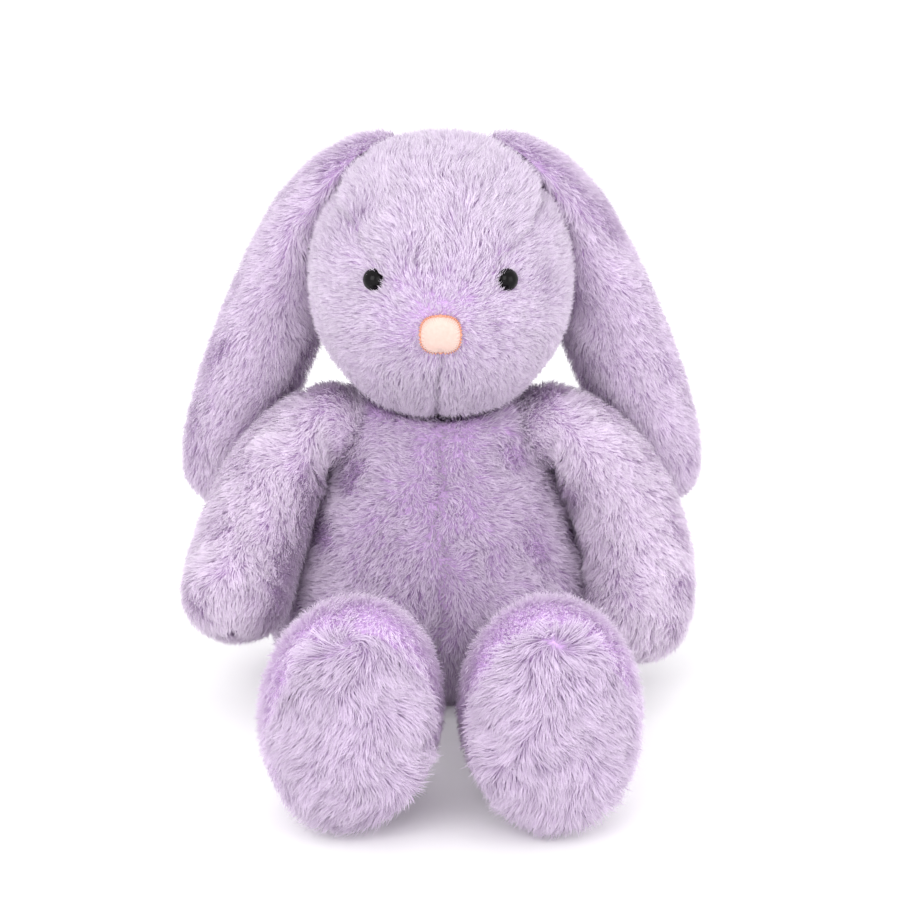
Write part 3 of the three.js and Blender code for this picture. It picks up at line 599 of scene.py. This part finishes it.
# Along the seam the pile is shorter and its colour is painted darker as shade
def torsoCrease(root, normal, u, v):  # the seam up the middle wanders a little
    wander = 1.4 * np.sin(root[:, 2] / 11) + 0.9 * np.sin(root[:, 2] / 4.3 + 1)
    return np.exp(-(((root[:, 0] + wander) / torso["seamWidth"]) ** 2)) * (root[:, 1] < middleY)


def onFront(root, normal, u, v):  # the front of the torso, off the seat
    return (np.cos(u * 2 * math.pi) > 0) & (normal[:, 2] > -0.8)


def onBack(root, normal, u, v):
    return (np.cos(u * 2 * math.pi) <= 0) & (normal[:, 2] > -0.8)


def makeTorso():
    grid = skinGrid(torsoForm, 70, 96, skinDepth, torso["skinEnds"])
    panels = ("torso_front_left", "torso_front_right", "torso_back_left", "torso_back_right", "seat_panel")
    placePiece(makeSkin("torso_skin", grid, backing), "torso", panels)
    front = growFur("torso_fur_front", grid, torso["strandsFront"], combTorso, deepLavender, 21,
                    crease=torsoCrease, length=evenLength(torso["frontLength"]), keep=onFront,
                    **torso["front"])
    back = growFur("torso_fur_back", grid, torso["strandsBack"], combTorso, lavender, 22,
                   keep=onBack, **torso["back"])
    placePiece(front, "torso")
    placePiece(back, "torso")


tail = {
    "radius": 17, "sunk": 3, "strands": 14000, "comb": np.array([0, 0.6, -0.4]), "fill": 0.8,
    "length": 0.9, "rise": (40, 65),
}


def combTail(root, normal, u, v, along):
    return tail["comb"] + normal * 0


def makeTail():
    middle = boxMiddle("tail_skin") - [0, tail["sunk"], 0]
    grid = skinGrid(ballForm(middle, tail["radius"]), 30, 40, skinDepth)
    placePiece(makeSkin("tail_skin_soft", grid, backing), "torso", ("tail_skin",))
    pile = growFur("tail_fur", grid, tail["strands"], combTail, lavender, 23,
                   rise=tail["rise"], length=evenLength(tail["length"]))
    placePiece(pile, "torso")


neck = {
    "radius": 17.5, "depth": 1.5, "strands": 9000, "comb": np.array([0, 0, -1]), "length": 0.5, "fill": 0.8,
}


def combNeck(root, normal, u, v, along):
    return neck["comb"] + normal * 0


def makeNeck():
    grid = skinGrid(ballForm(neckAt, neck["radius"]), 30, 40, neck["depth"])
    placePiece(makeSkin("neck_skin", grid, backing), "neck", ("neck_sleeve",))
    pile = growFur("neck_fur", grid, neck["strands"], combNeck, lavender, 24,
                   length=evenLength(neck["length"]))
    placePiece(pile, "neck")


face = {
    "gussetWidth": 17, "gussetFlare": 0.9, "gussetStart": 7, "gussetMost": 21,
    "strands": 65000, "strandsBack": 36000, "fill": 0.8, "back": {"width": 0.42}, "noseClear": 7.4,
}
eyes = {
    "apart": 56, "rise": 6.2, "radius": 4.6, "dome": 4.2, "sink": 1.6, "clear": 3, "socket": 4.2,
    "shift": np.array([1.9, 0, 0.7]), "turnOut": np.array([0.45, 0, 0.12]),
    "hollow": np.array([4.2, 0, -0.6]),
}
noseZ = boxMiddle("nose")[2]
noseAt = faceAt(np.array(0.0), np.array(noseZ))
eyePlaces = {
    side: faceAt(np.array(sign * eyes["apart"] / 2), np.array(headAt[2] + eyes["rise"]))
    for side, sign in sides
}


def combHead(root, normal, u, v, along):  # away from the nose, over the brow and out over the cheeks
    away = unit(root - noseAt)
    chin = smoothstep(headAt[2] - root[:, 2], 26, 46)
    return away + np.stack([0 * u, 0.1 - 0.9 * chin, -0.6 * chin], axis=1)


def gussetEdge(z):  # half the width of the long-piled gusset at a height over the middle of the head
    flare = (z - face["gussetStart"]) * face["gussetFlare"]
    return face["gussetWidth"] + np.clip(flare, 0, face["gussetMost"])


def onFace(root, normal, u, v):
    ahead = root[:, 1] < headAt[1]
    clear = np.linalg.norm(root - noseAt, axis=1) > face["noseClear"]
    for side, sign in sides:  # the pile covers the inner edge of each eye
        away = root - eyePlaces[side] - eyes["shift"] * [sign, 1, 1]
        clear &= np.linalg.norm(away, axis=1) > eyes["clear"]
    return ahead & clear


def faceLength(root, normal, u, v):  # longer over the forehead and under the chin, short round the nose
    x, z = np.abs(root[:, 0]), root[:, 2] - headAt[2]
    forehead = smoothstep(z, 2, 18) * (1 - smoothstep(x - gussetEdge(z), -3, 2))
    nearNose = smoothstep(np.linalg.norm(root - noseAt, axis=1), 8, 20)
    chin = smoothstep(-z, 34, 50)
    cheek = smoothstep(x, 34, 48)
    return (0.74 + 0.42 * forehead + 0.4 * chin + 0.2 * cheek) * (0.6 + 0.4 * nearNose)


# At these places the pile is shorter and its colour is painted darker as shade
def faceCrease(root, normal, u, v):  # the mouth seam, the gusset's edges and a hollow by each eye
    x, z = root[:, 0], root[:, 2] - headAt[2]
    under = smoothstep(noseZ - 6 - root[:, 2], 0, 3)
    mouth = 0.8 * np.exp(-(((x + 1.2 * np.sin(z / 9)) / 1.2) ** 2)) * under
    edge = 0.55 * np.exp(-(((np.abs(x) - gussetEdge(z) - 1.5) / 1.8) ** 2)) * smoothstep(z, 4, 12)
    ways = [root - eyePlaces[side] - eyes["hollow"] * [sign, 1, 1] for side, sign in sides]
    away = np.min([np.linalg.norm(way, axis=1) for way in ways], axis=0)
    return np.maximum.reduce([mouth, edge, 0.9 * np.exp(-((away / eyes["socket"]) ** 2))])


def makeHead():
    grid = skinGrid(headForm, 88, 112, skinDepth, (0.01, 0.99))
    panels = ("head_side_left", "head_side_right", "head_gusset")
    placePiece(makeSkin("head_skin", grid, backing), "head", panels)
    front = growFur("head_fur_face", grid, face["strands"], combHead, dustyLavender, 31,
                    length=faceLength, keep=onFace, crease=faceCrease)
    placePiece(front, "head")
    back = growFur("head_fur_back", grid, face["strandsBack"], combHead, lavender, 32,
                   keep=lambda root, normal, u, v: root[:, 1] >= headAt[1], **face["back"])
    placePiece(back, "head")


def makeDome(name, seat, outward, profile, spokes, material):
    # A profile of radius and height spun round the outward direction
    outward = unit(outward)
    first = unit(np.cross(outward, [0, 0, 1]))
    second = np.cross(outward, first)
    angle = np.arange(spokes) / spokes * 2 * math.pi
    ring = first * np.cos(angle)[:, None] + second * np.sin(angle)[:, None]
    grid = seat + ring[None] * profile[:, 0, None, None] + outward * profile[:, 1, None, None]
    return makeSkin(name, grid, material)


def makeEyes():
    black = mottledMaterial("eyeBlack", 300, [0.002, 0.002, 0.002, 1], [0.005, 0.004, 0.005, 1],
                            Roughness=0.2, Specular_IOR_Level=0.12)
    angles = np.linspace(-0.35, math.pi / 2 * 0.985, 22)
    profile = np.stack([eyes["radius"] * np.cos(angles), eyes["dome"] * np.sin(angles)], axis=1)
    for side, sign in sides:
        place = eyePlaces[side]
        outward = unit(faceNormal(place[0], place[2]) + eyes["turnOut"] * [sign, 1, 1])
        seat = place - outward * eyes["sink"]
        dome = makeDome(f"eye_dome_{side}", seat, outward, profile, 40, black)
        placePiece(dome, "head", replaced=(f"eye_{side}",))
    print("eyes placed", flush=True)


nose = {
    "halfWidth": 7.9, "halfHeight": 7.8, "squareness": 2.8, "lift": -0.4, "thick": 3.2, "depth": 4,
    "stitches": 44, "rim": 0.75, "spokes": 352, "fill": 0.7,
}


def noseSurface(share):
    # Rounded squares from the middle out to the rim, lifted into a cushion, pinched by the rim's stitches
    angle = np.arange(nose["spokes"]) / nose["spokes"] * 2 * math.pi
    share = np.atleast_1d(share)[:, None]
    c, s = power(np.cos(angle), 2 / nose["squareness"]), power(np.sin(angle), 2 / nose["squareness"])
    x = nose["halfWidth"] * c * share
    z = noseZ + nose["halfHeight"] * s * share
    pinch = 0.3 * np.cos(angle * nose["stitches"]) * smoothstep(share, 0.7, 0.95)
    tuck = 0.9 * np.exp(-(((x / 1.6) ** 2) + ((z - noseZ + 7) / 2.2) ** 2))
    cushion = nose["thick"] * np.sqrt(np.maximum(0, 1 - share**3.2 * 0.97))
    return faceAt(x, z) + faceNormal(x, z) * (nose["lift"] + cushion + pinch - tuck)[..., None]


def noseRim(sections):  # a thin cord round the pad's edge, swelling at each stitch
    middle = noseSurface(1.0)[0]
    outward = faceNormal(middle[:, 0], middle[:, 2])
    along = unit(np.roll(middle, -1, axis=0) - np.roll(middle, 1, axis=0))
    side = np.cross(outward, along)
    turn = (np.arange(sections)[:, None] / sections * 2 * math.pi)[..., None]
    around = np.arange(nose["spokes"]) / nose["spokes"] * 2 * math.pi
    thick = nose["rim"] * (1 + 0.25 * np.cos(around * nose["stitches"]))
    return middle - outward * 0.2 + (outward * np.cos(turn) + side * np.sin(turn)) * thick[:, None]


def makeRing(name, grid, material):
    # A closed ring of tube sections: quads between neighbours both ways round, facing out
    number = np.arange(grid.shape[0] * grid.shape[1]).reshape(grid.shape[:2])
    beside, below = np.roll(number, -1, axis=1), np.roll(number, -1, axis=0)
    quads = np.stack([number, beside, np.roll(below, -1, axis=1), below], axis=-1).reshape(-1, 4)
    corners = grid.reshape(-1, 3)[quads]
    out = np.cross(corners[:, 1] - corners[:, 0], corners[:, 2] - corners[:, 1])
    core = np.tile(grid.mean(axis=0), (grid.shape[0], 1))
    if (out * (corners.mean(axis=1) - core)).sum() < 0:
        quads = quads[:, ::-1]
    piece = makeObject(name, grid.reshape(-1, 3), quads.ravel(), np.arange(len(quads)) * 4)
    piece.data.shade_smooth()
    piece.data.materials.append(material)
    return piece


def makeNose():
    front = noseSurface(np.linspace(0.03, 1, 40))
    back = front[-1:] - faceNormal(front[-1:, :, 0], front[-1:, :, 2]) * nose["depth"]
    peach = mottledMaterial("peachCloth", 700, srgb(196, 164, 152), srgb(214, 186, 177), grain=0.6,
                            Roughness=0.75, Sheen_Weight=0.3)
    pad = makeSkin("nose_pad", np.concatenate([front, back]), peach)
    placePiece(pad, "head", replaced=("nose",))
    thread = mottledMaterial("noseThread", 900, srgb(196, 128, 100), srgb(212, 156, 132), Roughness=0.7)
    rim = makeRing("nose_rim", noseRim(8), thread)
    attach(rim, "head")
    print("nose placed", flush=True)


def makeEar(side, sign):
    grid = skinGrid(earForm(sign), 80, 64, skinDepth * ear["skinShare"], (0.02, 0.996))
    inside = headReach(grid, ear["headGap"])[..., None]
    pushed = headAt + (grid - headAt) / np.maximum(inside, 0.2)
    grid = np.where(inside < 1, pushed, grid)  # the ear lies against the head
    body = f"ear_{side}"
    skin = makeSkin(f"ear_skin_{side}", grid, backing)
    placePiece(skin, body, (f"{body}_outer", f"{body}_inner"))
    lean = ear["comb"] * [sign, 1, 1]
    pile = growFur(f"ear_fur_{side}", grid, ear["strands"], lambda root, normal, u, v, along: along + lean,
                   lavender, 41 + sign, length=evenLength(ear["length"]))
    placePiece(pile, body)


def makeArm(side, sign):
    grid = skinGrid(armForm(side, sign), 84, 64, skinDepth, (0.01, 0.998))
    body = f"arm_{side}"
    skin = makeSkin(f"arm_skin_{side}", grid, backing)
    placePiece(skin, body, (f"{body}_outer", f"{body}_inner"))
    lean = arm["comb"] * [sign, 1, 1]
    pile = growFur(f"arm_fur_{side}", grid, arm["strands"], lambda root, normal, u, v, along: along + lean,
                   paleLavender, 51 + sign, keep=lambda root, normal, u, v: v > arm["bareShare"])
    placePiece(pile, body)


def makeLeg(side, sign):
    grid = skinGrid(legForm(side, sign), 84, 80, skinDepth, (0.008, 0.992))
    body = f"leg_{side}"
    sole = f"foot_{side}_sole"
    skin = makeSkin(f"leg_skin_{side}", grid, backing)
    placePiece(skin, body, (f"{body}_top", f"{body}_under", sole))
    whorl = boxMiddle(sole) + np.array([0, 0, leg["whorlRise"]])

    def combSole(root, normal, u, v, along):  # down the sole, fanning out a little to its sides
        away = root - whorl
        return np.stack([away[:, 0] / 38, 0 * v, -0.8 + smoothstep(away[:, 2], -6, 16) * 1.0], axis=1)

    upper = growFur(f"leg_fur_{side}", grid, leg["strands"],
                    lambda root, normal, u, v, along: along + leg["comb"], paleLavender, 61 + sign,
                    length=lambda root, normal, u, v: 1 - 0.3 * smoothstep(v, 0.6, 0.72),
                    keep=lambda root, normal, u, v: v < leg["soleShare"], **leg["upperPile"])
    placePiece(upper, body)
    under = growFur(f"sole_fur_{side}", grid, leg["strandsSole"], combSole, deepLavender, 71 + sign,
                    length=evenLength(leg["soleLength"]),
                    keep=lambda root, normal, u, v: v >= leg["soleShare"], **leg["solePile"])
    placePiece(under, body)


makeTorso()
makeTail()
makeNeck()
makeHead()
makeEyes()
makeNose()
for side, sign in sides:
    makeEar(side, sign)
    makeArm(side, sign)
    makeLeg(side, sign)

# Inside, the filling, the bags and the washers keep their frame shapes
innerMaterials = {
    "stuffing": mottledMaterial("looseFibre", 250, srgb(225, 223, 219), srgb(246, 245, 242), Roughness=0.9),
    "pellet": mottledMaterial("pelletBag", 400, srgb(208, 204, 192), srgb(232, 229, 220), Roughness=0.6),
    "washer": mottledMaterial("whiteWasher", 300, srgb(222, 222, 222), srgb(238, 238, 238), Roughness=0.4),
}
for name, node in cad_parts.items():
    for word, material in innerMaterials.items():
        if word in name:
            for held in node.material_slots:
                held.material = material
            break
print("inside finished", flush=True)

# Floor, light and camera, in metres
view = {"target": (0.0038, 0.001, 0.115), "distance": 0.843, "elevation": 15, "lens": 81.2}
studio = {"floorSize": 6, "world": 1.25}
bpy.ops.mesh.primitive_plane_add(size=studio["floorSize"])
floor = bpy.context.object
floor.name = "floor"
floorMaterial = newMaterial("paleFloor", Roughness=0.9, Base_Color=(0.9, 0.9, 0.9, 1))[0]
floor.data.materials.append(floorMaterial)

world = bpy.data.worlds.new("studio")
bpy.context.scene.world = world
world.use_nodes = True
world.node_tree.nodes["Background"].inputs["Color"].default_value = (1, 1, 1, 1)
world.node_tree.nodes["Background"].inputs["Strength"].default_value = studio["world"]


def addLight(name, place, aim, size, power):
    light = bpy.data.lights.new(name, "AREA")
    light.size = size
    light.energy = power
    holder = bpy.data.objects.new(name, light)
    holder.location = place
    holder.rotation_euler = (Vector(aim) - Vector(place)).to_track_quat("-Z", "Y").to_euler()
    bpy.context.scene.collection.objects.link(holder)


addLight("key", place=(-0.55, -1.15, 0.75), aim=(0, 0, 0.1), size=0.9, power=11)
addLight("fill", place=(0.9, -0.9, 0.45), aim=(0, 0, 0.1), size=0.9, power=6)
addLight("top", place=(0.1, 0.3, 1.3), aim=(0, 0, 0.15), size=0.8, power=2)

bpy.context.scene.view_settings.view_transform = "Standard"
camera = bpy.data.objects.new("camera", bpy.data.cameras.new("camera"))
camera.data.lens = view["lens"]
tilt = math.radians(view["elevation"])
back = Vector((0, -math.cos(tilt), math.sin(tilt)))
camera.location = Vector(view["target"]) + back * view["distance"]
camera.rotation_euler = (-back).to_track_quat("-Z", "Y").to_euler()
bpy.context.scene.collection.objects.link(camera)
bpy.context.scene.camera = camera
